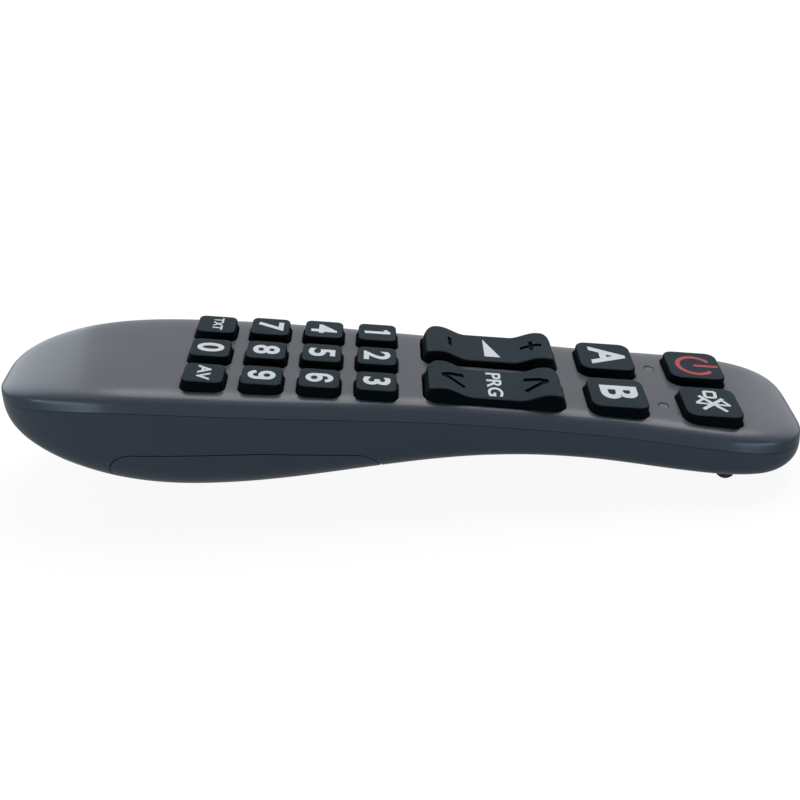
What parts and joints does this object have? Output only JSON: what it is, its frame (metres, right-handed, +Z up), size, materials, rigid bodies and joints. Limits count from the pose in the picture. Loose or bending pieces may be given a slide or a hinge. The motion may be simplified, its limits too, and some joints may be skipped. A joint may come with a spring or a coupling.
{
  "type": "universal remote control",
  "caption": "Large-key universal remote control with a boat-shaped grip, number keys, two rocker keys, letter, power and mute keys, and a battery door under the belly.",
  "frame": {"origin": "on the table under the middle of the remote's bounding box, with the remote lying on its belly and its two front feet", "axes": "+Y toward the front end with the infrared diode, +X to the right of someone who holds it with the keys up, +Z up"},
  "size_m": [0.0476, 0.207, 0.034],
  "materials": {
    "case_plastic": "satin anthracite with a fine grain",
    "key_rubber": "dark charcoal silicone rubber, matt",
    "contact_carbon": "carbon-filled contact rubber",
    "board_laminate": "brown phenolic paper laminate",
    "clear_epoxy": "pale blue-tinted clear epoxy",
    "lens_plastic": "smoked clear plastic",
    "lamp_white": "off-white lamp body",
    "chip_black": "black moulding compound",
    "resonator_ceramic": "orange dipped ceramic",
    "capacitor_sleeve": "dark blue shrink sleeve",
    "contact_steel": "nickel-plated spring steel",
    "cell_wrap": "plain green cell wrap",
    "screw_steel": "zinc-plated steel",
    "foot_rubber": "black rubber",
    "legend_white": "printed off-white ink",
    "legend_red": "printed red ink"
  },
  "bodies": {
    "case": {"top_case": "case_plastic", "bottom_case": "case_plastic", "keypad_mat": "key_rubber", "circuit_board": "board_laminate", "ir_diode": "clear_epoxy", "indicator_lenses": "lens_plastic", "indicator_lamps": "lamp_white", "control_chip": "chip_black", "resonator": "resonator_ceramic", "capacitor": "capacitor_sleeve", "drive_transistor": "chip_black", "chip_resistors": "chip_black", "positive_contact": "contact_steel", "negative_contact": "contact_steel", "link_contact": "contact_steel", "cell_1": "cell_wrap", "cell_2": "cell_wrap", "case_screws": "screw_steel", "board_screws": "screw_steel", "front_feet": "foot_rubber"},
    "door": {"battery_door": "case_plastic"},
    "press_1": {"key_1": "key_rubber", "pill_1": "contact_carbon"},
    "press_2": {"key_2": "key_rubber", "pill_2": "contact_carbon"},
    "press_3": {"key_3": "key_rubber", "pill_3": "contact_carbon"},
    "press_4": {"key_4": "key_rubber", "pill_4": "contact_carbon"},
    "press_5": {"key_5": "key_rubber", "pill_5": "contact_carbon"},
    "press_6": {"key_6": "key_rubber", "pill_6": "contact_carbon"},
    "press_7": {"key_7": "key_rubber", "pill_7": "contact_carbon"},
    "press_8": {"key_8": "key_rubber", "pill_8": "contact_carbon"},
    "press_9": {"key_9": "key_rubber", "pill_9": "contact_carbon"},
    "press_txt": {"key_txt": "key_rubber", "pill_txt": "contact_carbon"},
    "press_0": {"key_0": "key_rubber", "pill_0": "contact_carbon"},
    "press_av": {"key_av": "key_rubber", "pill_av": "contact_carbon"},
    "press_a": {"key_a": "key_rubber", "pill_a": "contact_carbon"},
    "press_b": {"key_b": "key_rubber", "pill_b": "contact_carbon"},
    "press_power": {"key_power": "key_rubber", "pill_power": "contact_carbon"},
    "press_mute": {"key_mute": "key_rubber", "pill_mute": "contact_carbon"},
    "rock_volume": {"rocker_volume": "key_rubber", "pills_volume": "contact_carbon"},
    "rock_program": {"rocker_program": "key_rubber", "pills_program": "contact_carbon"}
  },
  "joints": [
    {"name": "press_1", "type": "slide", "parent": "case", "child": "press_1", "axis": [0, -0.1011, -0.9949], "range_m": [0, 0.001], "stiffness_N_per_m": 1200},
    {"name": "press_2", "type": "slide", "parent": "case", "child": "press_2", "axis": [0, -0.1011, -0.9949], "range_m": [0, 0.001], "stiffness_N_per_m": 1200},
    {"name": "press_3", "type": "slide", "parent": "case", "child": "press_3", "axis": [0, -0.1011, -0.9949], "range_m": [0, 0.001], "stiffness_N_per_m": 1200},
    {"name": "press_4", "type": "slide", "parent": "case", "child": "press_4", "axis": [0, -0.1011, -0.9949], "range_m": [0, 0.001], "stiffness_N_per_m": 1200},
    {"name": "press_5", "type": "slide", "parent": "case", "child": "press_5", "axis": [0, -0.1011, -0.9949], "range_m": [0, 0.001], "stiffness_N_per_m": 1200},
    {"name": "press_6", "type": "slide", "parent": "case", "child": "press_6", "axis": [0, -0.1011, -0.9949], "range_m": [0, 0.001], "stiffness_N_per_m": 1200},
    {"name": "press_7", "type": "slide", "parent": "case", "child": "press_7", "axis": [0, -0.1011, -0.9949], "range_m": [0, 0.001], "stiffness_N_per_m": 1200},
    {"name": "press_8", "type": "slide", "parent": "case", "child": "press_8", "axis": [0, -0.1011, -0.9949], "range_m": [0, 0.001], "stiffness_N_per_m": 1200},
    {"name": "press_9", "type": "slide", "parent": "case", "child": "press_9", "axis": [0, -0.1011, -0.9949], "range_m": [0, 0.001], "stiffness_N_per_m": 1200},
    {"name": "press_txt", "type": "slide", "parent": "case", "child": "press_txt", "axis": [0, -0.1011, -0.9949], "range_m": [0, 0.001], "stiffness_N_per_m": 1200},
    {"name": "press_0", "type": "slide", "parent": "case", "child": "press_0", "axis": [0, -0.1011, -0.9949], "range_m": [0, 0.001], "stiffness_N_per_m": 1200},
    {"name": "press_av", "type": "slide", "parent": "case", "child": "press_av", "axis": [0, -0.1011, -0.9949], "range_m": [0, 0.001], "stiffness_N_per_m": 1200},
    {"name": "press_a", "type": "slide", "parent": "case", "child": "press_a", "axis": [0, -0.1011, -0.9949], "range_m": [0, 0.001], "stiffness_N_per_m": 1500},
    {"name": "press_b", "type": "slide", "parent": "case", "child": "press_b", "axis": [0, -0.1011, -0.9949], "range_m": [0, 0.001], "stiffness_N_per_m": 1500},
    {"name": "press_power", "type": "slide", "parent": "case", "child": "press_power", "axis": [0, -0.1011, -0.9949], "range_m": [0, 0.001], "stiffness_N_per_m": 1500},
    {"name": "press_mute", "type": "slide", "parent": "case", "child": "press_mute", "axis": [0, -0.1011, -0.9949], "range_m": [0, 0.001], "stiffness_N_per_m": 1500},
    {"name": "rock_volume", "type": "hinge", "parent": "case", "child": "rock_volume", "pos_m": [-0.0099, 0.0224, 0.01974], "axis": [1, 0, 0], "range_deg": [-4, 4], "stiffness_Nm_per_rad": 0.25},
    {"name": "rock_program", "type": "hinge", "parent": "case", "child": "rock_program", "pos_m": [0.0099, 0.0224, 0.01974], "axis": [1, 0, 0], "range_deg": [-4, 4], "stiffness_Nm_per_rad": 0.25},
    {"name": "door_hinge", "type": "hinge", "parent": "case", "child": "door", "pos_m": [0, -0.0083, 0.00495], "axis": [1, 0, 0], "range_deg": [0, 65]}
  ]
}
